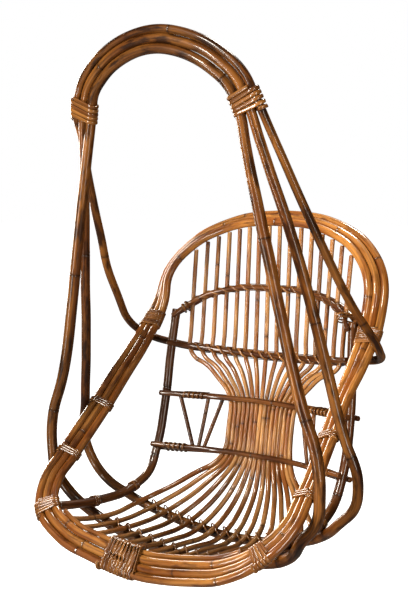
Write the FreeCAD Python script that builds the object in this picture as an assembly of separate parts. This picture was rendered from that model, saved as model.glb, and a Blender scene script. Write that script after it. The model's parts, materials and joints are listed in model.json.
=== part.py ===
import FreeCAD, Part
import math
import os

# A cane swing chair: three bent cane loops hang the seat, three more make the
# hoop round it, and slim canes run from the crown of the back to the front rim.
# The origin is the hang point under the top of the hanger, +Z is up and the
# sitter faces -Y. All lengths are in millimetres.

os.makedirs("parts", exist_ok=True)
V = FreeCAD.Vector
UP = V(0, 0, 1)
BACK = V(0, 1, 0)
ASIDE = V(1, 0, 0)

# Cane diameters
front_hanger_cane = 23.0
middle_hanger_cane = 21.0
rear_hanger_cane = 18.5
hoop_cane = 19.0
side_cane = 22.5
rail_cane = 13.0
edge_cane = 11.0
spindle_cane = 10.8
strut_cane = 9.6

# Binding cane diameters
broad_binding = 5.0
fine_binding = 4.0
lacing_strand = 2.4

# Clearances between pieces that touch
snug = 0.4
joint_gap = 0.6
turn_gap = 1.0
leg_gap = 4.0

# Hanger: half width and drop at the binding, and how far the arch leans back there
arch_half = 239.0
binding_drop = 113.0
binding_set = 29.0
binding_spread = 4.5

# Hoop: greatest half width, setback of the crown, drop of the front rim, and the eye it is stacked from
hoop_half = 361.0
crown_set = 487.0
rim_drop = 1150.0
eye_set = 161.0
eye_drop = 760.0

# Back rails: drop of the first, fall to the next, setback at the middle, and how far the ends come forward
top_rail_drop = 724.0
top_rail_set = 451.0
top_rail_bow = 64.0
top_rail_lift = 20.0
middle_rail_fall = 114.0
middle_rail_set = 419.0
middle_rail_bow = 46.0
low_rail_fall = 136.0
low_rail_set = 394.0
low_rail_bow = 58.0
rail_half = 302.0
middle_rail_drop = top_rail_drop + middle_rail_fall
low_rail_drop = middle_rail_drop + low_rail_fall

# Inner arch of the back: height over the top rail, fall to the side frames, and how far those rise past it
arch_over_rail = 173.0
arch_rail_fall = 76.0
side_over_arch = 12.0
arch_rail_drop = top_rail_drop - arch_over_rail
arch_end_drop = arch_rail_drop + arch_rail_fall

# Hook of the rear hanger cane round the hoop: its drop, and the step from there to behind it
hook_drop = 668.0
hook_in = 14.0
hook_back = 30.0
hook_down = 18.0

# Half length of the slim cane along the front rim
edge_half = 282.0

# Seat bearers at the middle of the seat
front_bearer_set = 123.0
front_bearer_drop = 1172.0
rear_bearer_set = 290.0
rear_bearer_drop = 1160.0

# Spindles: count, clear space between the outer ones and the frame, and spacing at the waist
spindle_count = 16
crown_clear = 20.0
top_rail_clear = 45.0
rear_bearer_clear = 25.0
front_bearer_clear = 27.0
rim_clear = 45.0
waist_pitch = 13.8
seat_sag = 25.0
edge_sag = 12.0

# Struts between the two lower rails: shares of the way from the last spindle to the side frame
strut_top_shares = (0.762, 0.333, 0.102)
strut_foot_shares = (0.471, 0.39, 0.313)

# Bindings: turns, pitch and where each one sits
hanger_turns = 5
hanger_pitch = 9.0
corner_turns = 9
corner_turn_drop = 642.0
leg_turns = 3
front_corner_turns = 5
front_corner_pitch = 7.5
rim_wrap_turns = 10
rim_wrap_pitch = 10.0
rim_wrap_place = -62.0
arch_end_turns = 2
arch_end_pitch = 7.0
crossing_turns = 3
rail_lacing_turns = 5
middle_lacing_shares = (0.377, 0.707)
low_lacing_shares = (0.553, 0.88)
lacing_lift = 1.6

# Stations of the bent canes on the right half, as shares of hoop_half, crown_set and rim_drop
middle_lash_shares = (0.955, 0.38, 0.735)
front_lash_shares = (0.985, 0.155, 0.83)
corner_lash_shares = (0.88, -0.08, 0.925)
joint_shares = (0.18, -0.115, 0.995)
crown_end_shares = (0.72, 0.95, 0.385)
hoop_shares = (
    (0, 1, 0.325), (0.42, 1, 0.34), crown_end_shares, (0.87, 0.89, 0.44), (0.91, 0.81, 0.535),
    (0.925, 0.665, 0.61), (0.935, 0.52, 0.67), middle_lash_shares, front_lash_shares, (0.985, 0.025, 0.88),
    corner_lash_shares, (0.65, -0.12, 0.965), (0.38, -0.12, 0.985), joint_shares, (0, -0.11, 1),
)
# How far the hoop's row of canes turns forward, as a share of a right angle, by share of rim_drop
row_turn_shares = ((0.32, -0.25), (0.44, -0.15), (0.54, 0.12), (0.68, 0.4), (0.83, 0.4), (0.93, 0.15), (1, 0))
front_leg_shares = ((0.78, 0.09, 0.38), (0.935, 0.12, 0.6))
front_bow_shares = ((1.09, 0.135, 0.87), (0.96, 0.15, 0.92))
middle_leg_shares = ((0.88, 0.22, 0.39), (0.99, 0.3, 0.575))
rear_bow_shares = ((1.15, 0.4, 0.82), (1.11, 0.425, 0.87), (0.97, 0.44, 0.915))
rear_leg_shares = ((0.88, 0.305, 0.315), (0.985, 0.515, 0.475))
side_upright_shares = ((0.755, 0.83), (0.775, 0.795), (0.79, 0.765), (0.795, 0.69))
side_seat_shares = ((0.79, 0.615, 0.9), (0.8, 0.5, 0.925), (0.815, 0.21, 0.935))
# Stations of the hanger's arch, as shares of its half width and of its rise over the binding
hanger_arch_shares = ((0, 1), (0.39, 0.89), (0.7, 0.64), (0.915, 0.315), (1, 0))
# Stations along the inner arch with the share of its fall, and along the front edge
arch_rail_shares = ((0, 0), (0.42, 0.07), (0.8, 0.48), (1, 1))
edge_shares = (-1, -0.8, -0.5, -0.2, 0, 0.2, 0.5, 0.8, 1)
# Shares of a bearer's own stations between the side rail and the middle
bearer_shares = (0.53, 0.62)
low_bend_share = 0.5
leg_start_share = 0.3
rail_lap_share = 0.45
strut_lap_share = 0.3
above_share = 0.3
fan_share = 0.5
fan_in_share = 0.6
waist_share = 0.94
straight_share = 0.0001
gap_steps = 8


def unit(vector):
    return vector * (1 / vector.Length)


def mirror(point):
    return V(-point.x, point.y, point.z)


def mirrored(points):
    return [mirror(p) for p in points]


def place(shares):
    return V(hoop_half * shares[0], crown_set * shares[1], -rim_drop * shares[2])


def across(vector, axis):
    """The part of a vector that is square to an axis."""
    return vector - axis * vector.dot(axis)


# Routes: a cane's axis is a list of knots, each a point with a direction,
# and two arcs that meet smoothly join each knot to the next.

def direction_through(before, here, after):
    back = here - before
    ahead = after - here
    return unit(back * (1 / back.dot(back)) + ahead * (1 / ahead.dot(ahead)))


def reflected(direction, chord):
    axis = unit(chord)
    return unit(axis * (2 * direction.dot(axis)) - direction)


def open_route(points):
    if len(points) == 2:
        run = unit(points[1] - points[0])
        return [(points[0], run), (points[1], run)]
    inner = [direction_through(*points[i - 1:i + 2]) for i in range(1, len(points) - 1)]
    first = reflected(inner[0], points[1] - points[0])
    last = reflected(inner[-1], points[-1] - points[-2])
    return list(zip(points, [first] + inner + [last]))


def closed_route(points):
    count = len(points)
    return [(p, direction_through(points[i - 1], p, points[(i + 1) % count])) for i, p in enumerate(points)]


def arcs(knots):
    """Each piece of a route as its start, its direction there and its end."""
    pieces = []
    for (start, out), (end, into) in zip(knots, knots[1:]):
        chord = end - start
        both = out + into
        bend = 2 * (1 - out.dot(into))
        if bend < straight_share * straight_share:
            reach = chord.dot(chord) / (4 * chord.dot(into))
        else:
            lead = chord.dot(both)
            reach = (math.sqrt(lead * lead + bend * chord.dot(chord)) - lead) / bend
        middle = (start + end + (out - into) * reach) * 0.5
        pieces.append((start, out, middle))
        pieces.append((middle, reflected(out, middle - start), end))
    return pieces


def arc_point(piece, share):
    start, out, end = piece
    chord = end - start
    rise = across(chord, out)
    if rise.Length < straight_share * chord.Length:
        return start + chord * share
    toward = unit(rise)
    radius = chord.dot(chord) / (2 * rise.Length)
    angle = 2 * math.atan2(rise.Length, chord.dot(out)) * share
    return start + toward * (radius * (1 - math.cos(angle))) + out * (radius * math.sin(angle))


def edge(piece):
    start, out, end = piece
    if across(end - start, out).Length < straight_share * (end - start).Length:
        return Part.LineSegment(start, end).toShape()
    return Part.Arc(start, arc_point(piece, 0.5), end).toShape()


def line_of(knots):
    """Points along a route, close enough to measure on."""
    points = [arc_point(piece, step / gap_steps) for piece in arcs(knots) for step in range(gap_steps)]
    return points + [knots[-1][0]]


def tube(knots, cane):
    pieces = arcs(knots)
    spine = Part.Wire([edge(piece) for piece in pieces])
    ring = Part.Wire([Part.makeCircle(cane / 2, knots[0][0], knots[0][1])])
    return spine.makePipeShell([ring], True, False)


def crossing(line, place_there, axis=ASIDE):
    """Where a line of points passes a place along an axis, with its direction there."""
    for a, b in zip(line, line[1:]):
        near = a.dot(axis) - place_there
        far = b.dot(axis) - place_there
        if near * far <= 0 and near != far:
            return a + (b - a) * (near / (near - far)), unit(b - a)
    raise ValueError("the line doesn't reach that far")


def butt(point, run, direction, cane, other, gap):
    """The end of a cane that comes up to another one in a direction, clear of its side."""
    lean = abs(run.dot(direction))
    stand_off = (other / 2 + gap + lean * cane / 2) / math.sqrt(1 - lean * lean)
    return point - direction * stand_off


def left_to_right(points):
    return sorted(points, key=lambda p: p.x)


# Hoop: three loops side by side, stacked away from the eye of the hoop

hoop_spacing = hoop_cane + 2 * snug
eye = V(0, eye_set, -eye_drop)
hoop_right = [place(s) for s in hoop_shares]
hoop_loop = hoop_right + mirrored(hoop_right[-2:0:-1])
hoop_knots = closed_route(hoop_loop)
front_lash_station = hoop_shares.index(front_lash_shares)
middle_lash_station = hoop_shares.index(middle_lash_shares)
corner_lash_station = hoop_shares.index(corner_lash_shares)
joint_station = len(hoop_loop) - hoop_shares.index(joint_shares)


def row_turn(drop):
    """The angle by which the row turns forward at a drop, between the values of the table."""
    share = min(max(drop / rim_drop, row_turn_shares[0][0]), row_turn_shares[-1][0])
    for (low, start), (high, end) in zip(row_turn_shares, row_turn_shares[1:]):
        if share <= high:
            return math.pi / 2 * (start + (end - start) * (share - low) / (high - low))


def aside(point, direction):
    return unit(across(point - eye, direction))


def outward(point, direction):
    """The way the hoop's row of canes runs: away from the eye, and turned forward."""
    away = aside(point, direction)
    forward = direction.cross(away)
    if forward.z < 0:
        forward = -forward
    turn = row_turn(-point.z)
    return away * math.cos(turn) + forward * math.sin(turn)


def hoop_stack(offset):
    return closed_route([p + outward(p, d) * offset for p, d in hoop_knots])


def opened(knots, station):
    """A closed route cut open at a station, with its two ends a joint apart."""
    point, direction = knots[station]
    nudge = direction * (joint_gap / 2)
    return [(point + nudge, direction)] + knots[station + 1:] + knots[:station] + [(point - nudge, direction)]


inner_hoop = opened(hoop_stack(-hoop_spacing), joint_station)
middle_hoop = opened(hoop_knots, joint_station)
outer_hoop = opened(hoop_stack(hoop_spacing), joint_station)
inner_line = line_of(inner_hoop)
middle_line = line_of(middle_hoop)
crown_line = left_to_right([p for p in inner_line if p.y > eye_set and p.z > -top_rail_drop])
front_line = left_to_right([p for p in inner_line if p.y < 0])
front_middle_line = left_to_right([p for p in middle_line if p.y < 0])
right_arm_line = [p for p in middle_line if p.x > 0 and p.y > 0]

# Hanger loops: arch, legs, lashing at the hoop, then under or behind the seat

front_to_middle = (front_hanger_cane + middle_hanger_cane) / 2 + snug
middle_to_rear = (middle_hanger_cane + rear_hanger_cane) / 2 + snug
arch_top = front_hanger_cane / 2 + front_to_middle
arch_rise = arch_top + binding_drop
arch_right = [V(arch_half * w, binding_set * (1 - h), arch_rise * h - binding_drop)
              for w, h in hanger_arch_shares]
arch_knots = open_route(mirrored(arch_right[:0:-1]) + arch_right)[len(arch_right) - 1:]


def hanger_arch(step):
    """One cane of the arch, a step out from the middle one, with the canes spread at the binding."""
    stations = []
    for (point, direction), (_, height) in zip(arch_knots, hanger_arch_shares):
        spread = math.copysign(binding_spread * (1 - height), step) if step else 0
        stations.append(point + unit(UP * direction.x - ASIDE * direction.z) * (step + spread))
    return stations


def legged(arch, leg_shares):
    """An arch carried on into a leg, straight from the binding to the leg's first station."""
    leg = [place(s) for s in leg_shares]
    return arch + [arch[-1] + (leg[0] - arch[-1]) * leg_start_share] + leg


def beside_hoop(station, cane):
    point, direction = hoop_knots[station]
    stand_off = hoop_spacing + hoop_cane / 2 + broad_binding + leg_gap + cane / 2
    return point + outward(point, direction) * stand_off


def lowered(point, drop):
    return point - UP * drop


side_drops = (arch_end_drop - side_over_arch, top_rail_drop, middle_rail_drop, low_rail_drop)
side_right = [V(hoop_half * w, crown_set * s, -drop)
              for (w, s), drop in zip(side_upright_shares, side_drops)]
side_right += [place(s) for s in side_seat_shares]
front_corner, corner_run = hoop_knots[corner_lash_station]
into_hoop = unit(outward(front_corner, corner_run).cross(corner_run))
side_run = unit(front_corner - side_right[-1])
facing = abs(side_run.dot(into_hoop))
lean_reach = math.sqrt(1 - facing * facing) * side_cane / 2
side_end = front_corner - side_run * ((hoop_cane / 2 + fine_binding + 3 * snug + lean_reach) / facing)
side_knots = open_route(side_right + [side_end])
under_side = side_cane / 2 + fine_binding + 5 * snug


def bearer_half(bow, crossing_point, cane, middle):
    """Stations of a hanger cane from below its lashing to the middle of the seat."""
    bow_points = [place(s) for s in bow]
    way = V(crossing_point.x * bearer_shares[0], 0, 0)
    way.y = crossing_point.y + (middle.y - crossing_point.y) * bearer_shares[1]
    way.z = lowered(crossing_point, under_side + cane / 2).z
    way.z += (middle.z - way.z) * (1 - bearer_shares[0] ** 2)
    slope = unit(bow_points[-1] - way)
    under = crossing_point + unit(across(UP, slope)) * -(under_side + cane / 2)
    return bow_points + [under, way, middle]


front_middle = V(joint_gap / 2, front_bearer_set, -front_bearer_drop)
rear_middle = V(joint_gap / 2, rear_bearer_set, -rear_bearer_drop)
front_half = legged(hanger_arch(-front_to_middle), front_leg_shares)
front_half += [beside_hoop(front_lash_station, front_hanger_cane)]
front_half += bearer_half(front_bow_shares, side_right[6], front_hanger_cane, front_middle)
middle_half = legged(hanger_arch(0), middle_leg_shares)
middle_half += [beside_hoop(middle_lash_station, middle_hanger_cane)]
middle_half += bearer_half(rear_bow_shares, side_right[5], middle_hanger_cane, rear_middle)


def loop_of(half):
    return open_route(half[::-1] + mirrored(half[1:]))


front_hanger = loop_of(front_half)
middle_hanger = loop_of(middle_half)
front_bearer = left_to_right([p for p in line_of(front_hanger) if p.z < side_right[4].z])
rear_bearer = left_to_right([p for p in line_of(middle_hanger) if p.z < side_right[4].z])

# Spindles: crown, inner arch, top rail, waist, low rail, bearers and front rim

def pitch_within(frame_point, clear):
    return 2 * (frame_point.x - clear) / (spindle_count - 1)


crown_pitch = pitch_within(place(crown_end_shares), crown_clear)
top_rail_pitch = pitch_within(side_right[1], top_rail_clear)
rear_bearer_pitch = pitch_within(side_right[5], rear_bearer_clear)
front_bearer_pitch = pitch_within(side_right[6], front_bearer_clear)
rim_pitch = pitch_within(front_corner, rim_clear)


def bowed(x, drop, setback, bow, lift):
    share = x / rail_half
    return V(x, setback - bow * share * share, lift * share * share - drop)


arch_rail_right = [V(side_right[0].x * w, 0, -arch_rail_drop - arch_rail_fall * f)
                   for w, f in arch_rail_shares]
arch_rail_rise = line_of(open_route(mirrored(arch_rail_right[:0:-1]) + arch_rail_right))


def on_bearer(bearer, x, cane, direction):
    point, run = crossing(bearer, x)
    return point + unit(direction.cross(run)) * (cane / 2 + snug + spindle_cane / 2)


def spindle_points(number, rear_direction, front_direction):
    """The stations of one spindle, from the crown of the back to the front rim."""
    out = number - (spindle_count - 1) / 2
    spread = 2 * abs(out) / (spindle_count - 1)
    top = bowed(top_rail_pitch * out, top_rail_drop, top_rail_set, top_rail_bow, top_rail_lift)
    crown, crown_run = crossing(crown_line, crown_pitch * out)
    crown = butt(crown, crown_run, unit(crown - top), spindle_cane, hoop_cane, snug)
    arch_z = crossing(arch_rail_rise, (crown.x + top.x) / 2)[0].z
    arch = top + (crown - top) * ((arch_z - top.z) / (crown.z - top.z))
    middle = bowed(waist_pitch * out, middle_rail_drop, middle_rail_set, middle_rail_bow, 0)
    low = bowed(waist_pitch * out, low_rail_drop, low_rail_set, low_rail_bow, 0)
    rear = on_bearer(rear_bearer, rear_bearer_pitch * out, middle_hanger_cane, rear_direction)
    front = on_bearer(front_bearer, front_bearer_pitch * out, front_hanger_cane, front_direction)
    rim, run = crossing(front_line, rim_pitch * out)
    behind = unit(across(across(BACK, run), outward(rim, run)))
    end = rim + behind * (hoop_cane / 2 + broad_binding + 3 * snug)
    sag = seat_sag + (edge_sag - seat_sag) * spread * spread
    bend = low + (rear - low) * low_bend_share + unit(BACK - UP) * sag
    above = top + (arch - top) * above_share
    fan = top + (middle - top) * fan_share
    fan.x = top.x + (middle.x - top.x) * fan_in_share
    waist = (middle + low) * 0.5
    waist.x *= waist_share
    return [crown, arch, above, top, fan, middle, waist, low, bend, rear, front, end]


spindle_levels = (
    "crown", "arch", "above", "top", "fan", "middle", "waist", "low", "bend", "rear", "front", "end")
ARCH, TOP, MIDDLE, LOW, REAR, FRONT = [
    spindle_levels.index(level) for level in ("arch", "top", "middle", "low", "rear", "front")]


def spindle(number):
    """A spindle's route, laid once to find its slope on the bearers and once on them."""
    first = open_route(spindle_points(number, -BACK, -BACK))
    return open_route(spindle_points(number, first[REAR][1], first[FRONT][1]))


spindles = [spindle(number) for number in range(spindle_count)]
# A rail is laid on the outer spindles and on every other one between them
half_count = spindle_count // 2
left_spindles = [0] + list(range(1, half_count, 2))
rail_spindles = left_spindles + [spindle_count - 1 - number for number in left_spindles[::-1]]


# Rails: each pair holds the spindles and the two side frames between them

def side_at(drop):
    """Where the right side frame passes a level, with its direction there."""
    return crossing(line_of(side_knots), -drop, UP)


def held(point, direction, run, stand_off):
    return point + unit(direction.cross(run)) * stand_off


def run_at(number, level):
    """The run of the spindles' row past one of them."""
    before = spindles[max(number - 1, 0)][level][0]
    after = spindles[min(number + 1, spindle_count - 1)][level][0]
    return unit(after - before)


def rail_stations(level, drop, cane, front):
    """Stations of a rail from left to right, in front of the spindles or behind."""
    sign = 1 if front else -1
    apart = sign * (spindle_cane / 2 + 2 * snug + cane / 2)
    stations = []
    for number in rail_spindles:
        point, direction = spindles[number][level]
        stations.append(held(point, direction, run_at(number, level), apart))
    upright, down = side_at(drop)
    run = unit(upright - spindles[-1][level][0])
    right = held(upright, down, run, sign * (side_cane / 2 + 2 * snug + cane / 2))
    return [mirror(right)] + stations + [right]


def run_on(points, length):
    """A list of stations with both ends carried on by a length."""
    first = points[0] + unit(points[0] - points[1]) * length
    last = points[-1] + unit(points[-1] - points[-2]) * length
    return [first] + points + [last]


def rail(level, drop, front):
    return open_route(run_on(rail_stations(level, drop, rail_cane, front), side_cane * rail_lap_share))


top_rail_front = rail(TOP, top_rail_drop - top_rail_lift, True)
middle_rail_front = rail(MIDDLE, middle_rail_drop, True)
middle_rail_rear = rail(MIDDLE, middle_rail_drop, False)
low_rail_front = rail(LOW, low_rail_drop, True)
low_rail_rear = rail(LOW, low_rail_drop, False)
arch_rail_front = rail(ARCH, arch_end_drop, True)
arch_rail_rear = rail(ARCH, arch_end_drop, False)

# The rear hanger cane hooks round the hoop and runs behind the spindles as a rail

hook_hoop, hook_run = crossing(right_arm_line, -hook_drop, UP)
hook_lean = aside(hook_hoop, hook_run).dot(outward(hook_hoop, hook_run))
hook_reach = hoop_cane / 2 + 4 * snug + rear_hanger_cane / 2
hook_off = hoop_spacing * hook_lean + math.sqrt(hook_reach ** 2 - hoop_spacing ** 2 * (1 - hook_lean ** 2))
hook = hook_hoop + aside(hook_hoop, hook_run) * hook_off
behind_rail = rail_stations(TOP, top_rail_drop - top_rail_lift, rear_hanger_cane, False)
behind_route = open_route(behind_rail)
half_behind = behind_rail[len(behind_rail) // 2:]
rear_half = legged(hanger_arch(middle_to_rear), rear_leg_shares) + [hook]
rear_half += [hook + V(-hook_in, hook_back, -hook_down)]
rear_half += half_behind[::-1]
rear_half += [V(joint_gap / 2, half_behind[0].y, half_behind[0].z)]
rear_hanger = loop_of(rear_half)


# Struts stand behind the front canes of the two lower rails

def rail_place(level, drop, share):
    """The x of a place on a rail, by its share of the way from the last spindle to the side frame."""
    inner = spindles[-1][level][0].x
    return inner + (side_at(drop)[0].x - inner) * share


def strut(top_share, foot_share):
    back = BACK * (rail_cane / 2 + 4 * snug + strut_cane / 2)
    top = crossing(line_of(middle_rail_front), rail_place(MIDDLE, middle_rail_drop, top_share))[0] + back
    foot = crossing(line_of(low_rail_front), rail_place(LOW, low_rail_drop, foot_share))[0] + back
    run = unit(top - foot) * (rail_cane * strut_lap_share)
    return open_route([top + run, foot - run])


# A slim cane lies along the front rim, over the ends of the spindles

edge_offset = hoop_spacing + hoop_cane / 2 + 2 * snug + edge_cane / 2


def edge_station(x):
    point, run = crossing(front_middle_line, x)
    return point - outward(point, run) * edge_offset


front_edge = open_route([edge_station(edge_half * share) for share in edge_shares])


# Windings: a binding cane goes round a row of canes, six knots to a turn

def lengths(line):
    total = [0.0]
    for a, b in zip(line, line[1:]):
        total.append(total[-1] + (b - a).Length)
    return total


def nearest_length(line, point):
    return min(zip(lengths(line), line), key=lambda pair: (pair[1] - point).Length)[0]


def along(line, length):
    """The point at a length along a line of points, with the direction there."""
    totals = lengths(line)
    last = len(line) - 2
    index = min(max(sum(1 for total in totals if total <= length) - 1, 0), last)
    run = unit(line[index + 1] - line[index])
    return line[index] + run * (length - totals[index]), run


def turn_knots(frame, start, turns, pitch, half_row, radius, advance_shares=None):
    """Knots of a winding. The frame gives, at a length, the centre, the row, the side and the axis."""
    corner = math.pi * radius / 2
    legs = (2 * half_row, corner, corner, 2 * half_row, corner, corner)
    girth = sum(legs)
    done_shares = advance_shares or [sum(legs[:i]) / girth for i in range(len(legs))]
    stations = [
        (half_row, radius, -1, 0), (-half_row, radius, -1, 0), (-half_row - radius, 0, 0, -1),
        (-half_row, -radius, 1, 0), (half_row, -radius, 1, 0), (half_row + radius, 0, 0, 1),
    ]
    if not half_row:
        kept = [i for i, leg in enumerate(legs) if leg]
        stations = [stations[i] for i in kept]
        done_shares = [done_shares[i] for i in kept]
        legs = [legs[i] for i in kept]
    knots = []
    for count in range(turns * len(legs) + 1):
        turn, leg = divmod(count, len(legs))
        after = done_shares[(leg + 1) % len(legs)] + (leg + 1) // len(legs)
        before = done_shares[leg - 1] - (1 if leg == 0 else 0)
        slope = pitch * (after - before) / (legs[leg] + legs[leg - 1])
        in_row, aside, row_run, side_run = stations[leg]
        centre, row, side, axis = frame(start + pitch * (turn + done_shares[leg]))
        point = centre + row * in_row + side * aside
        knots.append((point, unit(row * row_run + side * side_run + axis * slope)))
    return knots


def least_gap(knots, binding, turns):
    """The least gap of a winding to itself, measured on points of different turns."""
    points = line_of(knots)
    turn = len(points) // turns
    near = turn // 2
    pairs = [(points[i] - points[j]).Length for i in range(0, len(points), 4)
             for j in range(i + near, min(i + near + turn, len(points)), 2)]
    return min(pairs) - binding


def winding(name, frame, start, turns, pitch, half_row, inside, binding, advance_shares=None):
    radius = inside + 2 * snug + binding / 2
    knots = turn_knots(frame, start, turns, pitch, half_row, radius, advance_shares)
    print(name, "least gap to itself", round(least_gap(knots, binding, turns), 2))
    return tube(knots, binding)


def hoop_frame(shift):
    """Frames along the hoop, with the row's centre shifted out from the middle cane."""
    def frame(length):
        point, axis = along(loop_line, length)
        row = outward(point, axis)
        return point + row * shift, row, axis.cross(row), axis
    return frame


def hoop_binding(name, point, turns, pitch, binding, inward=0):
    """A binding round the three hoop canes, and round what lies inward of them."""
    start = nearest_length(loop_line, point) - turns * pitch / 2
    return winding(name, hoop_frame(-inward / 2), start, turns, pitch,
                   hoop_spacing + inward / 2, hoop_cane / 2 + snug / 2, binding)


def hanger_frame(length):
    """Frames down the right legs of the hanger, across its three canes."""
    drop = -binding_drop - length
    canes = [crossing([p for p in line if p.x > 0], drop, UP) for line in hanger_lines]
    row = unit(across(canes[2][0] - canes[0][0], canes[1][1]))
    axis = canes[1][1] if canes[1][1].z < 0 else -canes[1][1]
    return (canes[0][0] + canes[2][0]) * 0.5, row, axis.cross(row), axis


def rail_frame(front, rear):
    """Frames along a pair of rails, by x, with the row from the front one to the rear one."""
    front_points = left_to_right(line_of(front))
    rear_points = left_to_right(line_of(rear))

    def frame(x):
        near, near_run = crossing(front_points, x)
        far, far_run = crossing(rear_points, x)
        axis = unit(near_run + far_run)
        row = unit(across(far - near, axis))
        return (near + far) * 0.5, row, axis.cross(row), axis
    return frame


def side_frame(length):
    point, axis = along(side_line, length)
    row = unit(across(ASIDE, axis))
    return point, row, axis.cross(row), axis


def bearer_frame(bearer, level, half_row):
    """Frames along a bearer by x, with the row square to the spindles on it."""
    slope = spindles[half_count][level][1]

    def frame(x):
        point, axis = crossing(bearer, x)
        row = unit(slope.cross(axis))
        return point + row * half_row, row, axis.cross(row), axis
    return frame


def half_apart(front, rear, x):
    """Half the distance between the axes of a pair of rails."""
    near = crossing(left_to_right(line_of(front)), x)[0]
    far = crossing(left_to_right(line_of(rear)), x)[0]
    return (far - near).Length / 2


loop_line = line_of(hoop_knots + hoop_knots[:1])
hanger_lines = [line_of(route) for route in (front_hanger, middle_hanger, rear_hanger)]
side_line = line_of(side_knots)

fine_pitch = fine_binding + turn_gap
broad_pitch = broad_binding + turn_gap
corner_point = crossing(right_arm_line, -corner_turn_drop, UP)[0]
edge_inward = edge_offset - hoop_spacing
arch_pitch = (crown_pitch + top_rail_pitch) / 2
laced = spindle_count - 2
over_spindle_shares = (0, 0, 0, 0, 0, 0.5)
past_front_shares = (0, 0, 0.5, 1, 1, 1)


def hanger_binding():
    half_row = (front_to_middle + middle_to_rear) / 2 + binding_spread
    return winding("hanger binding", hanger_frame, -hanger_turns * hanger_pitch / 2, hanger_turns,
                   hanger_pitch, half_row, front_hanger_cane / 2, broad_binding)


def rim_binding():
    point = crossing(front_middle_line, rim_wrap_place)[0]
    return hoop_binding("rim binding", point, rim_wrap_turns, rim_wrap_pitch, broad_binding, edge_inward)


def side_lashing(name, crossing_point):
    start = nearest_length(side_line, crossing_point) - crossing_turns * fine_pitch / 2
    return winding(name, side_frame, start, crossing_turns, fine_pitch, 0, side_cane / 2, fine_binding)


def arch_end_binding():
    frame = rail_frame(arch_rail_front, arch_rail_rear)
    end = side_right[0].x - side_cane / 2 - 2 * snug - fine_binding / 2
    half_row = half_apart(arch_rail_front, arch_rail_rear, end) + 4 * snug
    return winding("arch end binding", frame, end - arch_end_turns * arch_end_pitch, arch_end_turns,
                   arch_end_pitch, half_row, rail_cane / 2 + snug, fine_binding)


def seat_lacing(name, bearer, level, cane, pitch):
    half_row = (spindle_cane + lacing_lift) / 2
    start = -laced * pitch / 2
    return winding(name, bearer_frame(bearer, level, half_row), start, laced, pitch, half_row,
                   cane / 2, lacing_strand, over_spindle_shares)


def arch_lacing():
    frame = rail_frame(arch_rail_front, arch_rail_rear)
    half_row = half_apart(arch_rail_front, arch_rail_rear, arch_pitch / 2)
    return winding("arch lacing", frame, -laced * arch_pitch / 2, laced, arch_pitch, half_row + snug,
                   rail_cane / 2, lacing_strand, past_front_shares)


def rail_lacing(name, front, rear, level, drop, shares):
    start, end = [rail_place(level, drop, share) for share in shares]
    pitch = (end - start) / rail_lacing_turns
    half_row = half_apart(front, rear, end)
    return winding(name, rail_frame(front, rear), start, rail_lacing_turns, pitch, half_row,
                   rail_cane / 2, lacing_strand)


def top_rail_lacing():
    half_row = half_apart(top_rail_front, behind_route, laced * top_rail_pitch / 2)
    frame = rail_frame(top_rail_front, behind_route)
    return winding("top rail lacing", frame, -laced * top_rail_pitch / 2, laced, top_rail_pitch,
                   half_row + snug, rear_hanger_cane / 2, lacing_strand, past_front_shares)


# Output: one file for each piece

def keep(name, *shapes):
    shape = shapes[0] if len(shapes) == 1 else Part.makeCompound(list(shapes))
    shape.exportStep("parts/" + name + ".step")


def keep_pair(name, *shapes):
    keep(name + "_right", *shapes)
    keep(name + "_left", *[shape.mirror(V(), ASIDE) for shape in shapes])


keep("hanger_cane_front", tube(front_hanger, front_hanger_cane))
keep("hanger_cane_middle", tube(middle_hanger, middle_hanger_cane))
keep("hanger_cane_rear", tube(rear_hanger, rear_hanger_cane))
keep("hoop_cane_inner", tube(inner_hoop, hoop_cane))
keep("hoop_cane_middle", tube(middle_hoop, hoop_cane))
keep("hoop_cane_outer", tube(outer_hoop, hoop_cane))
keep_pair("side_frame", tube(side_knots, side_cane))
for number, route in enumerate(spindles):
    keep("spindle_%02d" % (number + 1), tube(route, spindle_cane))
keep("arch_rail_front", tube(arch_rail_front, rail_cane))
keep("arch_rail_rear", tube(arch_rail_rear, rail_cane))
keep("top_rail", tube(top_rail_front, rail_cane))
keep("middle_rail_front", tube(middle_rail_front, rail_cane))
keep("middle_rail_rear", tube(middle_rail_rear, rail_cane))
keep("low_rail_front", tube(low_rail_front, rail_cane))
keep("low_rail_rear", tube(low_rail_rear, rail_cane))
for number, (top_share, foot_share) in enumerate(zip(strut_top_shares, strut_foot_shares)):
    keep_pair("strut_%d" % (number + 1), tube(strut(top_share, foot_share), strut_cane))
keep("front_edge_cane", tube(front_edge, edge_cane))

keep_pair("hanger_binding", hanger_binding())
keep_pair("back_corner_binding", hoop_binding("back corner binding", corner_point,
                                              corner_turns, fine_pitch, fine_binding))
keep_pair("arch_end_binding", arch_end_binding())
keep_pair("middle_leg_lashing", hoop_binding("middle leg lashing", hoop_right[middle_lash_station],
                                             leg_turns, broad_pitch, broad_binding))
keep_pair("front_leg_lashing", hoop_binding("front leg lashing", hoop_right[front_lash_station],
                                            leg_turns, broad_pitch, broad_binding))
keep_pair("front_corner_lashing", hoop_binding("front corner lashing", front_corner, front_corner_turns,
                                               front_corner_pitch, fine_binding))
keep("front_rim_binding", rim_binding())
keep_pair("side_rail_lashings", side_lashing("front side lashing", side_right[6]),
          side_lashing("rear side lashing", side_right[5]))
keep("seat_lacing_front", seat_lacing("front seat lacing", front_bearer, FRONT,
                                      front_hanger_cane, front_bearer_pitch))
keep("seat_lacing_rear", seat_lacing("rear seat lacing", rear_bearer, REAR,
                                     middle_hanger_cane, rear_bearer_pitch))
keep("arch_lacing", arch_lacing())
keep("top_rail_lacing", top_rail_lacing())
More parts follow.
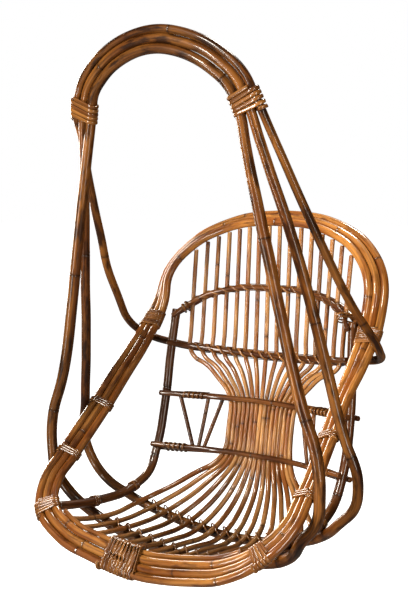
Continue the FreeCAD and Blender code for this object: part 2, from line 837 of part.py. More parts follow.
keep_pair("rail_lacings",
          rail_lacing("middle rail lacing", middle_rail_front, middle_rail_rear,
                      MIDDLE, middle_rail_drop, middle_lacing_shares),
          rail_lacing("low rail lacing", low_rail_front, low_rail_rear,
                      LOW, low_rail_drop, low_lacing_shares))
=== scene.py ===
# %% [markdown]
# # A cane swing chair
# The chair is all cane: three bent loops hang it, three more make the hoop
# round the seat, and slim spindles fan through a narrow waist. The CAD model
# already holds every cane as a plain tube in its right place. This lesson
# keeps those places and gives each tube the look of real cane: joints along
# its length, a slight swell, grain, smoke marks and varnish.

# %% Load the frame
import bpy
import json
import math
import random
import numpy as np
from mathutils import Matrix, Vector


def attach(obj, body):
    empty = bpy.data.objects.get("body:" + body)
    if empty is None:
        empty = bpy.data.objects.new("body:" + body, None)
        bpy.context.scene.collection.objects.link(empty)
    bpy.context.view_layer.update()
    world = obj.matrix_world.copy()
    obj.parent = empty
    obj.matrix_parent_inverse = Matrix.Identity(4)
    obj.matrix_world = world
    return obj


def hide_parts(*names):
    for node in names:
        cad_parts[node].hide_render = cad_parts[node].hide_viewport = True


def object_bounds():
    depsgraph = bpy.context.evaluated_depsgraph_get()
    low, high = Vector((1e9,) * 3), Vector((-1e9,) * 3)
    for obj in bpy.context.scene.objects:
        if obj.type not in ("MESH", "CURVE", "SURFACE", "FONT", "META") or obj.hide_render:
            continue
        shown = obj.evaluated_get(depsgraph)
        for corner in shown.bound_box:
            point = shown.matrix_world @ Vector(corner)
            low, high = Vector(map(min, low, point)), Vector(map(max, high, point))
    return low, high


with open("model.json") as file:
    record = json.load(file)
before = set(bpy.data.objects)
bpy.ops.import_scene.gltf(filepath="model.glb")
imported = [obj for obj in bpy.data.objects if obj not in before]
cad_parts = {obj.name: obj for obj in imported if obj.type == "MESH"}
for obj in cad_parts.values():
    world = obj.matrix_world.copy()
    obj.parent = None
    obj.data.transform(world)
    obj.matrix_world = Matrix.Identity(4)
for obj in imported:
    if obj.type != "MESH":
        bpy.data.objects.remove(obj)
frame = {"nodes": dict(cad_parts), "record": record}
nodes = frame["nodes"]
slot_of = {part["node"]: part["material_slot"] for part in frame["record"]["subparts"]}
cad_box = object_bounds()
print(len(nodes), "nodes, from", tuple(cad_box[0]), "to", tuple(cad_box[1]))

# %% [markdown]
# ## The camera
# The photograph was taken from the right, from a little below the arch, with a
# fairly long lens. A camera is an object whose local -Z looks ahead, so its
# matrix is built from three square directions and a place. Aiming by hand
# would also work, but a matrix repeats the fitted view exactly.

# %% Camera
camera_place = Vector((1.761, -2.029, -0.2854))
camera_ahead = Vector((-0.62045, 0.77769, -0.10120))
camera_right = Vector((0.78211, 0.62310, -0.00671))
camera_lens = 70.6
camera_sensor = 36

camera_data = bpy.data.cameras.new("photo_camera")
camera_data.lens = camera_lens
camera_data.sensor_width = camera_sensor
camera = bpy.data.objects.new("photo_camera", camera_data)
bpy.context.scene.collection.objects.link(camera)
ahead = camera_ahead.normalized()
right = (camera_right - ahead * camera_right.dot(ahead)).normalized()
turn = Matrix((right, right.cross(ahead), -ahead)).transposed()
camera.matrix_world = Matrix.Translation(camera_place) @ turn.to_4x4()
bpy.context.scene.camera = camera
print("camera looks along", tuple(round(c, 3) for c in ahead))

# %% [markdown]
# ## Shader nodes
# The floor, the world and every finish are trees of shader nodes. Adding and
# joining nodes takes several lines each time, so a small class gives short
# names to the steps that come again and again. Nodes can also be placed by
# hand in the shader editor, but a script repeats them exactly.

# %% Short ways to build a shader


class Shader:
    """Adds and joins the nodes of a material or a world."""

    def __init__(self, owner):
        owner.use_nodes = True
        self.tree = owner.node_tree

    def add(self, kind, **settings):
        node = self.tree.nodes.new("ShaderNode" + kind)
        for key, value in settings.items():
            setattr(node, key, value)
        return node

    def feed(self, value, socket):
        """Link an output to a socket, or set the socket to a constant."""
        if isinstance(value, bpy.types.NodeSocket):
            self.tree.links.new(value, socket)
        else:
            socket.default_value = value

    def arithmetic(self, operation, a, b):
        node = self.add("Math", operation=operation)
        self.feed(a, node.inputs[0])
        self.feed(b, node.inputs[1])
        return node.outputs[0]

    def ramp(self, value, low, high, to_low=0.0, to_high=1.0):
        node = self.add("MapRange")
        self.feed(value, node.inputs["Value"])
        self.feed(low, node.inputs["From Min"])
        self.feed(high, node.inputs["From Max"])
        self.feed(to_low, node.inputs["To Min"])
        self.feed(to_high, node.inputs["To Max"])
        return node.outputs["Result"]

    def mix(self, share, a, b):
        node = self.add("Mix", data_type="RGBA")
        for socket, value in ((0, share), (6, a), (7, b)):
            self.feed(value, node.inputs[socket])
        return node.outputs[2]

    def noise(self, place, stretch, detail, roughness):
        scaled = self.add("VectorMath", operation="MULTIPLY")
        self.feed(place, scaled.inputs[0])
        self.feed(stretch, scaled.inputs[1])
        node = self.add("TexNoise")
        self.feed(scaled.outputs[0], node.inputs["Vector"])
        self.feed(1, node.inputs["Scale"])
        self.feed(detail, node.inputs["Detail"])
        self.feed(roughness, node.inputs["Roughness"])
        return node.outputs["Fac"]


def grey(level):
    return (level, level, level, 1)


print("shader helpers ready")

# %% [markdown]
# ## Floor
# A hanging chair needs room below it, so the floor lies well under the seat.
# It should look white and still keep a faint shadow. So the camera sees a
# glow with a lit surface added to it, and the glow grows to full white away
# from the chair. Rays that only carry light meet a much darker floor, so that
# the canes keep dark undersides.

# %% Pale floor
floor_drop = 0.42
floor_size = 60.0
floor_light = 0.12
floor_white = 0.8
floor_roughness = 0.9
near_reach = 0.8
far_reach = 2.4
near_glow = 0.8
far_glow = 1.0


def new_object(name, data):
    piece = bpy.data.objects.new(name, data)
    bpy.context.scene.collection.objects.link(piece)
    return piece


def floor_paint(level):
    paint = bpy.data.materials.new("pale_floor")
    shader = Shader(paint)
    ground = shader.tree.nodes["Principled BSDF"]
    shader.feed(grey(floor_light), ground.inputs["Base Color"])
    shader.feed(floor_roughness, ground.inputs["Roughness"])
    away = shader.add("VectorMath", operation="DISTANCE")
    shader.feed(shader.add("NewGeometry").outputs["Position"], away.inputs[0])
    shader.feed((0, 0, level), away.inputs[1])
    strength = shader.ramp(away.outputs["Value"], near_reach, far_reach, near_glow, far_glow)
    glow = shader.add("Emission")
    shader.feed(strength, glow.inputs["Strength"])
    lit = shader.add("BsdfDiffuse")
    shader.feed(grey(floor_white), lit.inputs["Color"])
    seen = shader.add("AddShader")
    shader.feed(glow.outputs[0], seen.inputs[0])
    shader.feed(lit.outputs[0], seen.inputs[1])
    choice = shader.add("MixShader")
    shader.feed(shader.add("LightPath").outputs["Is Camera Ray"], choice.inputs[0])
    shader.feed(ground.outputs[0], choice.inputs[1])
    shader.feed(seen.outputs[0], choice.inputs[2])
    shader.feed(choice.outputs[0], shader.tree.nodes["Material Output"].inputs["Surface"])
    return paint


def make_floor():
    half = floor_size / 2
    level = cad_box[0].z - floor_drop
    corners = [(-half, -half, level), (half, -half, level), (half, half, level), (-half, half, level)]
    mesh = bpy.data.meshes.new("floor")
    mesh.from_pydata(corners, [], [(0, 1, 2, 3)])
    mesh.materials.append(floor_paint(level))
    new_object("floor", mesh)
    return level


print("floor at", round(make_floor(), 3))

# %% [markdown]
# ## World
# The world is the studio's white surround. The camera sees it at full white.
# It lights the chair far less than it looks, and gleams in the varnish hardly
# at all. A bright world would be simpler, but it would fill every shadow.

# %% White surround
world_light = 0.10
world_gleam = 0.01


def make_world():
    world = bpy.data.worlds.new("studio")
    bpy.context.scene.world = world
    shader = Shader(world)
    path = shader.add("LightPath")
    dim = shader.ramp(path.outputs["Is Glossy Ray"], 0, 1, world_light, world_gleam)
    background = shader.tree.nodes["Background"]
    shader.feed(grey(1), background.inputs["Color"])
    strength = shader.arithmetic("MAXIMUM", path.outputs["Is Camera Ray"], dim)
    shader.feed(strength, background.inputs["Strength"])


make_world()
print("world lights at", world_light)

# %% [markdown]
# ## Lamps
# A warm lamp in front lights the chair, and another over the back lights the
# upper edges. An upright cane mirrors only what stands level with it, so three
# tall narrow lamps stand round the chair and draw the bright line along each
# cane.

# %% Soft lamps
seat_middle = Vector((0, 0.2, -0.8))
lamp_colour = (1, 0.94, 0.85)
lamps = {
    "key_lamp": {"place": (-0.6, -2.7, 1.3), "width": 0.7, "height": 0.7, "power": 120},
    "strip_lamp": {"place": (-0.9, -2.5, -0.9), "width": 0.22, "height": 2.2, "power": 70},
    "back_lamp": {"place": (-0.2, 1.5, 1.9), "width": 0.6, "height": 0.6, "power": 80},
    "left_lamp": {"place": (-2.2, 0.6, 0.0), "width": 0.3, "height": 1.6, "power": 60},
    "fill_lamp": {"place": (2.4, -1.2, -0.5), "width": 0.3, "height": 2.0, "power": 40},
}


def make_lamp(name, place, width, height, power):
    lamp = bpy.data.lights.new(name, "AREA")
    lamp.shape = "RECTANGLE"
    lamp.size = width
    lamp.size_y = height
    lamp.energy = power
    lamp.color = lamp_colour
    piece = new_object(name, lamp)
    piece.location = place
    piece.rotation_euler = (seat_middle - Vector(place)).to_track_quat("-Z", "Y").to_euler()


for name, setting in lamps.items():
    make_lamp(name, **setting)
bpy.context.scene.view_settings.view_transform = "Standard"
print(len(lamps), "lamps")

# %% [markdown]
# ## Where the canes run
# Each CAD tube is a row of rings with a flat cap at both ends. Walking from
# one cap to the next ring, and on to the one after, visits the tube from end
# to end, and the middle of each ring is a point of the cane's axis. Typing
# the routes again would also do, but read from the frame they always agree
# with the solids.

# %% Points and caps of a solid
weld_size = 1e-6
cap_agreement = 0.8


def welded(mesh):
    """A mesh as points and triangles, with the corners that coincide made one."""
    places = np.empty(3 * len(mesh.vertices))
    mesh.vertices.foreach_get("co", places)
    places = places.reshape(-1, 3)
    corners = np.empty(len(mesh.loops), np.int64)
    mesh.loops.foreach_get("vertex_index", corners)
    rounded = np.round(places / weld_size)
    _, first, merged = np.unique(rounded, axis=0, return_index=True, return_inverse=True)
    return places[first], merged.reshape(-1)[corners].reshape(-1, 3)


def corners_on_caps(points, faces):
    """Which points lie on a cap's sharp edge, where the faces round them disagree."""
    a, b, c = (points[faces[:, corner]] for corner in range(3))
    spread = np.cross(b - a, c - a)
    facing = np.repeat(spread / np.linalg.norm(spread, axis=1)[:, None], 3, axis=0)
    mean = np.zeros_like(points)
    np.add.at(mean, faces.ravel(), facing)
    mean /= np.linalg.norm(mean, axis=1)[:, None]
    agreement = np.ones(len(points))
    np.minimum.at(agreement, faces.ravel(), (mean[faces.ravel()] * facing).sum(axis=1))
    return agreement < cap_agreement


hoop_points = welded(nodes["hoop_cane_outer"].data)[0]
print("the hoop's outer cane has", len(hoop_points), "points in the frame")

# %% [markdown]
# The walk keeps a list of the points it has seen. The unseen neighbours of one
# ring are the next ring, until none are left. A node may hold several tubes,
# so the walk starts again at any cap that is still unseen.

# %% Read the axes from the solids


def tubes_in(node):
    """The tubes of a CAD node, each as the middles of its rings and its radius."""
    points, faces = welded(nodes[node].data)
    on_cap = corners_on_caps(points, faces)
    sides = np.concatenate([faces[:, [0, 1]], faces[:, [1, 2]], faces[:, [2, 0]]])
    sides = sides[np.argsort(sides[:, 0], kind="stable")]
    starts = np.searchsorted(sides[:, 0], np.arange(len(points) + 1))
    seen = np.zeros(len(points), bool)

    def unseen_beside(ring):
        near = np.unique(np.concatenate([sides[starts[v]:starts[v + 1], 1] for v in ring]))
        return near[~seen[near]]

    found = []
    while (on_cap & ~seen).any():
        ring = cap = np.flatnonzero(on_cap & ~seen)[:1]
        while len(cap):
            seen[cap] = True
            near = unseen_beside(cap)
            cap = near[on_cap[near]]
            ring = np.concatenate([ring, cap])
        middles = [points[ring].mean(axis=0)]
        radius = np.linalg.norm(points[ring] - middles[0], axis=1).mean()
        ring = unseen_beside(ring)
        while len(ring):
            seen[ring] = True
            middles.append(points[ring].mean(axis=0))
            ring = unseen_beside(ring)
        found.append((np.array(middles), radius))
    return found


tubes = {node: tubes_in(node) for node in sorted(nodes)}
print(sum(len(found) for found in tubes.values()), "tubes read")

# %% [markdown]
# ## Fair lines
# The ring middles lie close together in a bend and far apart on a straight
# run. A Hermite curve through them, read at even steps, gives a line that a
# mesh can be swept along. Each step also needs two directions square to the
# line. They are carried along from step to step so that the mesh never twists.

# %% Lines and their directions


def fair_line(middles, stops):
    """Points of a smooth line through the ring middles, at the given lengths."""
    chords = np.linalg.norm(np.diff(middles, axis=0), axis=1)
    total = np.concatenate([[0], np.cumsum(chords)])
    slopes = np.diff(middles, axis=0) / chords[:, None]
    ahead_share = (chords[:-1] / (chords[:-1] + chords[1:]))[:, None]
    inner = slopes[:-1] * (1 - ahead_share) + slopes[1:] * ahead_share
    tangents = np.concatenate([slopes[:1], inner, slopes[-1:]])
    index = np.clip(np.searchsorted(total, stops, side="right") - 1, 0, len(chords) - 1)
    gap = chords[index][:, None]
    t = ((stops - total[index]) / chords[index])[:, None]
    return ((2 * t ** 3 - 3 * t ** 2 + 1) * middles[index] + (t ** 3 - 2 * t ** 2 + t) * gap * tangents[index]
            + (3 * t ** 2 - 2 * t ** 3) * middles[index + 1] + (t ** 3 - t ** 2) * gap * tangents[index + 1])


def length_of(middles):
    return np.linalg.norm(np.diff(middles, axis=0), axis=1).sum()


def unit_rows(rows):
    return rows / np.linalg.norm(rows, axis=-1, keepdims=True)


def carried_directions(line):
    """Two directions square to a line at each point, carried along it without a twist."""
    tangents = unit_rows(np.gradient(line, axis=0))
    start = np.eye(3)[np.argmin(np.abs(tangents[0]))]
    first = [unit_rows(start - tangents[0] * start.dot(tangents[0]))]
    for tangent in tangents[1:]:
        first.append(unit_rows(first[-1] - tangent * first[-1].dot(tangent)))
    first = np.array(first)
    return first, np.cross(tangents, first)


print("the hoop's outer cane is", round(length_of(tubes["hoop_cane_outer"][0][0]), 3), "m long")

# %% [markdown]
# ## Sweeping a section
# A cane or a strip is a section moved along a line. The section may change
# from step to step, so a cane can swell at its joints. Each vertex also keeps
# its place on the straight cane, before it was bent, in a named attribute. The
# grain is drawn in that space, so it follows every bend and has no seam. A
# second attribute carries three marks for the finish: the scar, the tone and
# the groove. The tone is a random shade of the piece times the painted shade of
# the darker zones.

# %% Sweep


def sweep(name, line, first, second, sections, marks, start_length):
    """A mesh from a section at each point of a line, with the attributes that the finish reads."""
    steps, sides = sections.shape[:2]
    places = line[:, None] + sections[..., :1] * first[:, None] + sections[..., 1:] * second[:, None]
    corner = np.arange(sides)
    ring = np.arange(steps - 1)[:, None] * sides
    quads = np.stack([ring + corner, ring + (corner + 1) % sides,
                      ring + sides + (corner + 1) % sides, ring + sides + corner], axis=-1)
    faces = quads.reshape(-1, 4).tolist()
    faces += [list(range(sides))[::-1], list(range((steps - 1) * sides, steps * sides))]
    mesh = bpy.data.meshes.new(name)
    mesh.from_pydata(places.reshape(-1, 3).tolist(), [], faces)
    lengths = np.concatenate([[0], np.cumsum(np.linalg.norm(np.diff(line, axis=0), axis=1))])
    straight = np.empty((steps, sides, 3))
    straight[..., :2] = sections
    straight[..., 2] = (lengths + start_length)[:, None]
    mesh.attributes.new("straight", "FLOAT_VECTOR", "POINT").data.foreach_set("vector", straight.ravel())
    colours = np.ones((steps, sides, 4))
    colours[..., :3] = marks[:, None]
    mesh.attributes.new("marks", "FLOAT_COLOR", "POINT").data.foreach_set("color", colours.ravel())
    smooth = np.ones(len(mesh.polygons), bool)
    smooth[-2:] = False
    mesh.polygons.foreach_set("use_smooth", smooth)
    return mesh


def joined(name, meshes):
    """Several meshes as one, attributes included."""
    parts = [new_object(name, mesh) for mesh in meshes]
    with bpy.context.temp_override(active_object=parts[0], selected_editable_objects=parts):
        bpy.ops.object.join()
    mesh = parts[0].data
    bpy.data.objects.remove(parts[0])
    return mesh


print("sweep ready")

# %% [markdown]
# ## Painted shade and thick ends
# The chair is darker in places where it lies in shade, and that shade is
# painted into the canes' tone. Each zone here is a ball with a middle, a reach
# and a depth, and the tone falls off softly inside it. The lower legs and the
# seat part of the spindles are thicker than the rest, so a share is added to
# their radius between two levels.

# %% Zones of painted shade and thickening
# Painted shade: each zone darkens the tone where the chair lies in shade.
painted_shade_zones = (
    ((-0.36, 0.20, -0.85), 0.36, 0.50),
    ((0.00, 0.00, 0.06), 0.36, 0.42),
    ((-0.30, 0.06, -0.50), 0.42, 0.22),
    ((-0.10, 0.00, -1.16), 0.40, 0.34),
    ((0.00, 0.26, -1.20), 0.34, 0.30),
    ((0.36, 0.10, -1.05), 0.30, 0.20),
)
leg_levels = (-0.20, -0.45)
spindle_levels = (-0.82, -1.02)
thickening_shares = {
    "hanger_cane_front": (0.13, leg_levels),
    "hanger_cane_middle": (0.12, leg_levels),
    "hanger_cane_rear": (0.05, leg_levels),
    "spindle": (0.15, spindle_levels),
}


def eased(values, start, stop):
    """A smooth change from 0 at the start value to 1 at the stop value."""
    share = np.clip((values - start) / (stop - start), 0, 1)
    return share * share * (3 - 2 * share)


def left_after_painted_shade(line):
    """How much of a cane's tone is left under the painted shade of the zones."""
    left = np.ones(len(line))
    for middle, reach, depth in painted_shade_zones:
        away = np.linalg.norm(line - np.array(middle), axis=1)
        left *= 1 - depth * eased(away, reach, reach / 2)
    return left


def thickened(name, line):
    """How much thicker than its CAD tube a cane is, at each point of its line."""
    kind = "spindle" if name.startswith("spindle") else name
    if kind not in thickening_shares:
        return np.ones(len(line))
    gain, (high, low) = thickening_shares[kind]
    return 1 + gain * eased(line[:, 2], high, low)


print(len(painted_shade_zones), "zones of painted shade")

# %% [markdown]
# ## Joints of the cane
# A length of cane has a joint every few hands, where a leaf once grew: a low
# ridge with a narrow groove under it. These are real shapes on the surface, so
# they are geometry here, and extra rings sit at each joint to hold them. Bump
# alone would vanish at the outline.

# %% Joints
ridge_share = 0.035
groove_share = 0.03
ridge_reach = 0.0045
ridge_tail = 1.6
groove_reach = 0.0016
scar_before = 0.003
scar_after = 0.009
first_joint_shares = (0.3, 0.9)
joint_rings = np.array([-0.012, -0.008, -0.0055, -0.0035, -0.002, -0.0008,
                        0, 0.0008, 0.002, 0.004, 0.007, 0.011])


def joint_places(length, apart, dice):
    places = [dice.uniform(*first_joint_shares) * apart[0]]
    while places[-1] < length:
        places.append(places[-1] + dice.uniform(*apart))
    return np.array(places[:-1])


def bell(past, before, after):
    """A bump of height 1 at zero, with a reach of its own on either side."""
    return np.exp(-(np.minimum(past, 0) / before) ** 2 - (np.maximum(past, 0) / after) ** 2)


def joint_shapes(stops, joints):
    """The swell, the scar and the groove that the joints make along a cane."""
    past = stops[:, None] - joints[None]
    ridge = bell(past, ridge_reach, ridge_reach * ridge_tail)
    groove = np.exp(-((past - groove_reach) / groove_reach) ** 2)
    swell = 1 + (ridge_share * ridge - (ridge_share + groove_share) * groove).sum(axis=1)
    scar = bell(past, scar_before, scar_after).max(axis=1, initial=0)
    return swell, scar, groove.max(axis=1, initial=0)


print(len(joint_rings), "rings at each joint")

# %% [markdown]
# ## Cane
# Between its joints a cane swells and thins a little, and it isn't quite round
# or quite straight. Slow waves with a phase of their own for each cane give
# all three. The numbers are drawn from dice that are seeded with the name of
# the piece, so the same chair comes out every time.

# %% Cane from end to end
cane_styles = {
    "hanger_cane": {"sides": 22, "step": 0.008, "apart": (0.30, 0.55), "wobble": 0.0005, "oval": 0.02},
    "hoop_cane": {"sides": 20, "step": 0.007, "apart": (0.28, 0.50), "wobble": 0.0002, "oval": 0.015},
    "rail_cane": {"sides": 16, "step": 0.006, "apart": (0.16, 0.30), "wobble": 0.0003, "oval": 0.03},
    "spindle_cane": {"sides": 14, "step": 0.006, "apart": (0.26, 0.46), "wobble": 0.0002, "oval": 0.03},
}
least_stops = 8
least_step = 0.0002
stop_digits = 5
skin = 0.0004
end_round = 0.0015
end_share = 0.18
long_sway = 0.31
short_sway = 0.13
short_sway_share = 0.5
swell_wave = 0.45
swell_share = 0.012
grain_range = 40
plain_mark = 0.5


def cane_stops(length, step, joints):
    """The lengths along a cane at which it gets a ring."""
    even = np.linspace(0, length, max(int(length / step), least_stops))
    near_joints = (joints[:, None] + joint_rings).ravel()
    ends = np.array([end_round / 3, end_round, length - end_round, length - end_round / 3])
    stops = np.unique(np.concatenate([even, near_joints, ends]).clip(0, length).round(stop_digits))
    return stops[np.concatenate([[True], np.diff(stops) > least_step])]


def cane_mesh(name, middles, radius, style, dice, shade):
    length = length_of(middles)
    joints = joint_places(length, style["apart"], dice)
    stops = cane_stops(length, style["step"], joints)
    line = fair_line(middles, stops)
    first, second = carried_directions(line)
    phases = [dice.uniform(0, math.tau) for _ in range(4)]
    sway = np.sin(stops * math.tau / long_sway + phases[0])
    sway += short_sway_share * np.sin(stops * math.tau / short_sway + phases[1])
    line = line + first * (sway * style["wobble"])[:, None]
    swell, scar, groove = joint_shapes(stops, joints)
    swell *= 1 + swell_share * np.sin(stops * math.tau / swell_wave + phases[2])
    swell *= thickened(name, line)
    to_end = np.minimum(stops, length - stops)
    swell *= 1 - end_share * np.clip(1 - to_end / end_round, 0, 1) ** 2
    angles = np.arange(style["sides"]) * math.tau / style["sides"]
    oval = 1 + style["oval"] * np.cos(2 * angles + phases[3])
    reach = (radius + skin) * swell[:, None] * oval
    sections = np.stack([reach * np.cos(angles), reach * np.sin(angles)], axis=-1)
    # The second mark carries the piece's random tone and the painted shade of the zones.
    marks = np.stack([scar, shade * plain_mark * left_after_painted_shade(line), groove], axis=-1)
    return sweep(name, line, first, second, sections, marks, dice.uniform(0, grain_range))


print(len(cane_styles), "kinds of cane")

# %% [markdown]
# ## Route of a binding
# The bindings are strips of the cane's glossy skin. The CAD strand gives the
# route round the canes, and the strip lies on the same route with its flat
# side towards what it binds. Half a turn back and half a turn ahead on the
# route span one step of the winding, and the outside is square to that step.
# The rings of a tightly wound strand can be uneven, so the line through their
# middles is calmed first.

# %% Routes and their outer side
strip_step = 0.0025
least_strip_stops = 12
calm_points = 9
sink_share = 0.9


def turns_of(line):
    """How often a route goes round, from how much its direction turns."""
    runs = unit_rows(np.diff(line, axis=0))
    bends = np.arccos(np.clip((runs[1:] * runs[:-1]).sum(axis=1), -1, 1))
    return max(round(bends.sum() / math.tau), 1)


def outward_of(line, tangents):
    """The direction away from what a route goes round, at each point."""
    count = len(line)
    half = max(count // turns_of(line) // 2, 2)
    back = np.clip(np.arange(count), half, count - 1 - half) - half
    front = back + 2 * half
    advance = line[np.minimum(front, count - 1)] - line[back]
    sums = np.concatenate([np.zeros((1, 3)), np.cumsum(line, axis=0)])
    middle = (sums[np.minimum(front, count)] - sums[back]) / (2 * half)
    out = unit_rows(np.cross(tangents, advance))
    away = ((line - middle) * out).sum(axis=1)
    return out * np.where(away < 0, -1, 1)[:, None]


def calmed(line):
    """A line with each point taken as the mean of its near neighbours."""
    weights = np.hanning(calm_points + 2)[1:-1]
    padded = np.pad(line, ((calm_points // 2, calm_points // 2), (0, 0)), mode="edge")
    columns = [np.convolve(column, weights / weights.sum(), mode="valid") for column in padded.T]
    return np.stack(columns, axis=-1)


def strip_route(middles, radius):
    """A strip's lengths, line, direction along it and direction outwards."""
    length = length_of(middles)
    stops = np.linspace(0, length, max(int(length / strip_step), least_strip_stops) * 2 + 1)
    line = calmed(fair_line(middles, stops))[::2]
    tangents = unit_rows(np.gradient(line, axis=0))
    out = outward_of(line, tangents)
    out = unit_rows(out - tangents * (out * tangents).sum(axis=1)[:, None])
    return stops[::2], line - out * (radius * sink_share), tangents, out


rim_route = strip_route(*tubes["front_rim_binding"][0])
print("the front rim binding goes round", turns_of(rim_route[1]), "times")

# %% [markdown]
# ## Binding strips and tacks
# A strip is flat beneath and rounded above, and its width varies a little. It
# is broad enough to come close to its neighbour. A small tack with a domed
# head holds each end of a binding. Both are sweeps: the strip along its route,
# and the tack along its own short axis with circles that close in to a dome.

# %% Strips and tacks
strip_points = 9
crown_power = 0.7
edge_share = 0.25
base_shares = np.array([0.9, 0, -0.9])
width_wave = 0.07
width_share = 0.05
tack_reach = 0.0019
tack_rise = 0.0011
tack_sides = 12
tack_rings = 6
dome_share = 0.96
tack_stops = (2, -3)


def strip_mesh(name, route, width, height, dice, shade):
    stops, line, tangents, out = route
    across = np.cos(np.linspace(math.pi, 0, strip_points))
    rise = np.sqrt(1 - across ** 2) ** crown_power
    above = np.stack([height * (edge_share + (1 - edge_share) * rise), across * width / 2], axis=-1)
    beneath = np.stack([np.zeros(len(base_shares)), base_shares * width / 2], axis=-1)
    section = np.concatenate([above, beneath])
    wave = 1 + width_share * np.sin(stops * math.tau / width_wave + dice.uniform(0, math.tau))
    sections = section[None] * np.stack([np.ones_like(wave), wave], axis=-1)[:, None]
    none = np.zeros(len(stops))
    # The second mark carries the piece's random tone and the painted shade of the zones.
    marks = np.stack([none, shade * plain_mark * left_after_painted_shade(line), none], axis=-1)
    return sweep(name, line, out, np.cross(tangents, out), sections, marks, dice.uniform(0, grain_range))


def tack_mesh(place, first, second, out):
    """The domed head of a small tack."""
    climb = np.linspace(0, dome_share * math.pi / 2, tack_rings)
    angles = np.arange(tack_sides) * math.tau / tack_sides
    line = place + np.outer(np.sin(climb) * tack_rise - tack_rise / 3, out)
    circle = np.stack([np.cos(angles), np.sin(angles)], axis=-1)
    sections = tack_reach * np.cos(climb)[:, None, None] * circle
    rows = (tack_rings, 1)
    marks = np.zeros((tack_rings, 3))
    return sweep("tack", line, np.tile(first, rows), np.tile(second, rows), sections, marks, 0)


def tack_meshes(route, height):
    """The tacks near both ends of a strip."""
    _, line, tangents, out = route
    heads = []
    for stop in tack_stops:
        side = np.cross(tangents[stop], out[stop])
        heads.append(tack_mesh(line[stop] + out[stop] * height, tangents[stop], side, out[stop]))
    return heads


print("strips have", strip_points + len(base_shares), "points in a section")

# %% [markdown]
# ## Cane finish
# One shader makes every cane: fibres along its length, slow clouds of lighter
# and darker skin, smoke marks and a dark scar at each joint, all under a thin
# varnish. Each layer is a noise that is stretched along the cane, and the dark
# layers lie over the clouds one by one. The varnish is the shader's own coat,
# which gives the sharp bright line over the softer sheen of the cane.

# %% Layers of the cane finish
grain = {
    "clouds": {"stretch": (34, 34, 6), "detail": 3, "roughness": 0.55},
    "streaks": {"stretch": (240, 240, 4), "detail": 2, "roughness": 0.55},
    "fibres": {"stretch": (800, 800, 14), "detail": 4, "roughness": 0.65},
    "smoke": {"stretch": (60, 60, 13), "detail": 4, "roughness": 0.6},
    "specks": {"stretch": (600, 600, 150), "detail": 2, "roughness": 0.55},
}
cloud_range = (0.40, 0.62)
streak_layer = ("streaks", 0.46, 0.66, 0.55)
fibre_layer = ("fibres", 0.42, 0.70, 0.35)
speck_layer = ("specks", 0.66, 0.74, 0.55)
scar_depth = 0.45
groove_depth = 0.7
sheen_range = (0.3, 0.7, 0.34, 0.5)
speck_height = 0.4
bump_strength = 0.35
bump_depth = 0.0005
bare_gloss = 0.15
varnish_roughness = 0.1


def smoke_layer(smoke):
    """A smokier cane has more smoke marks and darker ones."""
    return ("smoke", 0.66 - 0.19 * smoke, 0.78 - 0.18 * smoke, 0.3 + 0.55 * smoke)


def tone(red, green, blue):
    """A screen colour as the linear colour that a shader takes."""
    channels = [c / 255 for c in (red, green, blue)]
    return tuple(c / 12.92 if c <= 0.04045 else ((c + 0.055) / 1.055) ** 2.4 for c in channels) + (1,)


print(len(grain), "layers of grain")

# %% [markdown]
# The tones, the smoke and the varnish differ from piece to piece, so these are
# the function's inputs. The marks that each mesh carries say where its joints
# are, how dark the piece is as a whole, and where the painted shade of the
# zones darkens it.

# %% Cane finish
groove_tone = tone(38, 18, 6)


def cane_finish(name, dark, middle, light, smoke, varnish):
    material = bpy.data.materials.new(name)
    shader = Shader(material)
    surface = shader.tree.nodes["Principled BSDF"].inputs
    place = shader.add("Attribute", attribute_name="straight").outputs["Vector"]
    marks = shader.add("SeparateColor")
    shader.feed(shader.add("Attribute", attribute_name="marks").outputs["Color"], marks.inputs[0])
    noises = {layer: shader.noise(place, **settings) for layer, settings in grain.items()}
    dark = tone(*dark)
    colour = shader.mix(shader.ramp(noises["clouds"], *cloud_range), tone(*middle), tone(*light))
    for layer, low, high, depth in (streak_layer, fibre_layer, smoke_layer(smoke), speck_layer):
        share = shader.arithmetic("MULTIPLY", shader.ramp(noises[layer], low, high), depth)
        colour = shader.mix(share, colour, dark)
    scar = shader.arithmetic("MULTIPLY", marks.outputs["Red"], scar_depth)
    colour = shader.mix(scar, colour, dark)
    groove = shader.arithmetic("MULTIPLY", marks.outputs["Blue"], groove_depth)
    colour = shader.mix(groove, colour, groove_tone)
    # The green mark sets the value: a random tone of the piece times painted shade.
    toned = shader.add("HueSaturation")
    shader.feed(colour, toned.inputs["Color"])
    shader.feed(shader.arithmetic("MULTIPLY", marks.outputs["Green"], 1 / plain_mark), toned.inputs["Value"])
    shader.feed(toned.outputs[0], surface["Base Color"])
    shader.feed(shader.ramp(noises["fibres"], *sheen_range), surface["Roughness"])
    specks = shader.arithmetic("MULTIPLY", noises["specks"], speck_height)
    bump = shader.add("Bump")
    shader.feed(bump_strength, bump.inputs["Strength"])
    shader.feed(bump_depth, bump.inputs["Distance"])
    shader.feed(shader.arithmetic("ADD", noises["fibres"], specks), bump.inputs["Height"])
    shader.feed(bump.outputs[0], surface["Normal"])
    shader.feed(bare_gloss, surface["Specular IOR Level"])
    shader.feed(varnish, surface["Coat Weight"])
    shader.feed(varnish_roughness, surface["Coat Roughness"])
    return material


print("cane finish ready")
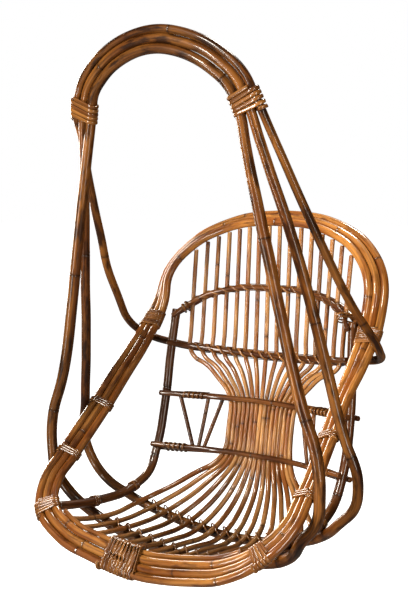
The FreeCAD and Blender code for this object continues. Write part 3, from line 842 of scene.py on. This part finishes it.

# %% [markdown]
# ## The chair's tones
# The hanger canes are the smokiest and the least varnished, the hoop is honey
# brown, and the spindles are reddish and bright. The rails are dark brown, and
# their tone is set darker still, which paints in the shade that lies on the
# side frames. Bindings and lacings are strips of the same skin. The tacks are
# plain iron with a slight mottle.

# %% Tones of the pieces
cane_tones = {
    "hanger_cane": {"name": "smoked_cane", "dark": (36, 13, 2), "middle": (122, 68, 21),
                    "light": (168, 106, 44), "smoke": 1.0, "varnish": 0.45},
    "hoop_cane": {"name": "honey_cane", "dark": (62, 22, 3), "middle": (154, 87, 28),
                  "light": (200, 134, 62), "smoke": 0.7, "varnish": 1.0},
    # The rail tones are set darker overall: partly the rails' own dark cane, partly painted shade of the side
    # frames.
    "rail_cane": {"name": "brown_cane", "dark": (30, 11, 2), "middle": (86, 44, 14),
                  "light": (134, 80, 34), "smoke": 0.6, "varnish": 0.8},
    "spindle_cane": {"name": "reddish_cane", "dark": (62, 24, 5), "middle": (154, 90, 36),
                     "light": (214, 156, 92), "smoke": 0.6, "varnish": 1.0},
    "binding": {"name": "peeled_skin", "dark": (62, 28, 6), "middle": (124, 72, 26),
                "light": (172, 114, 54), "smoke": 0.3, "varnish": 1.0},
    "lacing": {"name": "split_strand", "dark": (54, 25, 6), "middle": (120, 70, 27),
               "light": (176, 118, 60), "smoke": 0.3, "varnish": 1.0},
}
iron_dark = tone(96, 78, 56)
iron_light = tone(150, 128, 96)
iron_mottle = {"stretch": (900, 900, 900), "detail": 2, "roughness": 0.55}
iron_roughness = 0.35


def tack_finish():
    material = bpy.data.materials.new("tack_iron")
    shader = Shader(material)
    surface = shader.tree.nodes["Principled BSDF"].inputs
    mottle = shader.noise(shader.add("TexCoord").outputs["Object"], **iron_mottle)
    shader.feed(shader.mix(mottle, iron_dark, iron_light), surface["Base Color"])
    shader.feed(1.0, surface["Metallic"])
    shader.feed(iron_roughness, surface["Roughness"])
    return material


finishes = {slot: cane_finish(**tones) for slot, tones in cane_tones.items()}
tack_paint = tack_finish()
print(len(finishes), "finishes and the tacks")

# %% [markdown]
# ## Dressing the chair
# Every CAD node now gets its piece. The slot in the record says what it is made
# of: a kind of cane, a strip of skin for a binding, or a thinner strip for a
# lacing. Each piece takes the place of its node and rides on the chair's one
# body.

# %% Canes, bindings and lacings
shade_range = (0.84, 1.12)
strip_sizes = {
    "hanger_binding": (0.0088, 0.0030), "front_rim_binding": (0.0098, 0.0030),
    "back_corner_binding": (0.0049, 0.0026), "arch_end_binding": (0.0062, 0.0026),
    "front_corner_lashing": (0.0074, 0.0026), "front_leg_lashing": (0.0059, 0.0030),
    "middle_leg_lashing": (0.0059, 0.0030), "side_rail_lashings": (0.0049, 0.0026),
    "rail_lacings": (0.0058, 0.0020), "top_rail_lacing": (0.0050, 0.0020),
}
lacing_size = (0.0042, 0.0018)


def strip_size(node):
    """The width and the height of a node's strip."""
    kind = node if node in strip_sizes else node.rsplit("_", 1)[0]
    return strip_sizes.get(kind, lacing_size)


def cane_meshes(node, slot, dice):
    """The canes or strips of a node, and the tacks of its bindings."""
    meshes = []
    tacks = []
    for middles, radius in tubes[node]:
        shade = dice.uniform(*shade_range)
        if slot in cane_styles:
            meshes.append(cane_mesh(node, middles, radius, cane_styles[slot], dice, shade))
            continue
        width, height = strip_size(node)
        route = strip_route(middles, radius)
        meshes.append(strip_mesh(node, route, width, height, dice, shade))
        if slot == "binding":
            tacks += tack_meshes(route, height)
    return meshes, tacks


def dress(node):
    slot = slot_of[node]
    meshes, tacks = cane_meshes(node, slot, random.Random(node))
    for mesh in meshes:
        mesh.materials.append(finishes[slot])
    for head in tacks:
        head.materials.append(tack_paint)
    meshes += tacks
    mesh = meshes[0] if len(meshes) == 1 else joined(node, meshes)
    piece = new_object(node + "_skin", mesh)
    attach(piece, "root")
    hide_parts(node)
    return len(mesh.vertices)


counts = {node: dress(node) for node in sorted(nodes)}
print(len(counts), "pieces with", sum(counts.values()), "vertices")
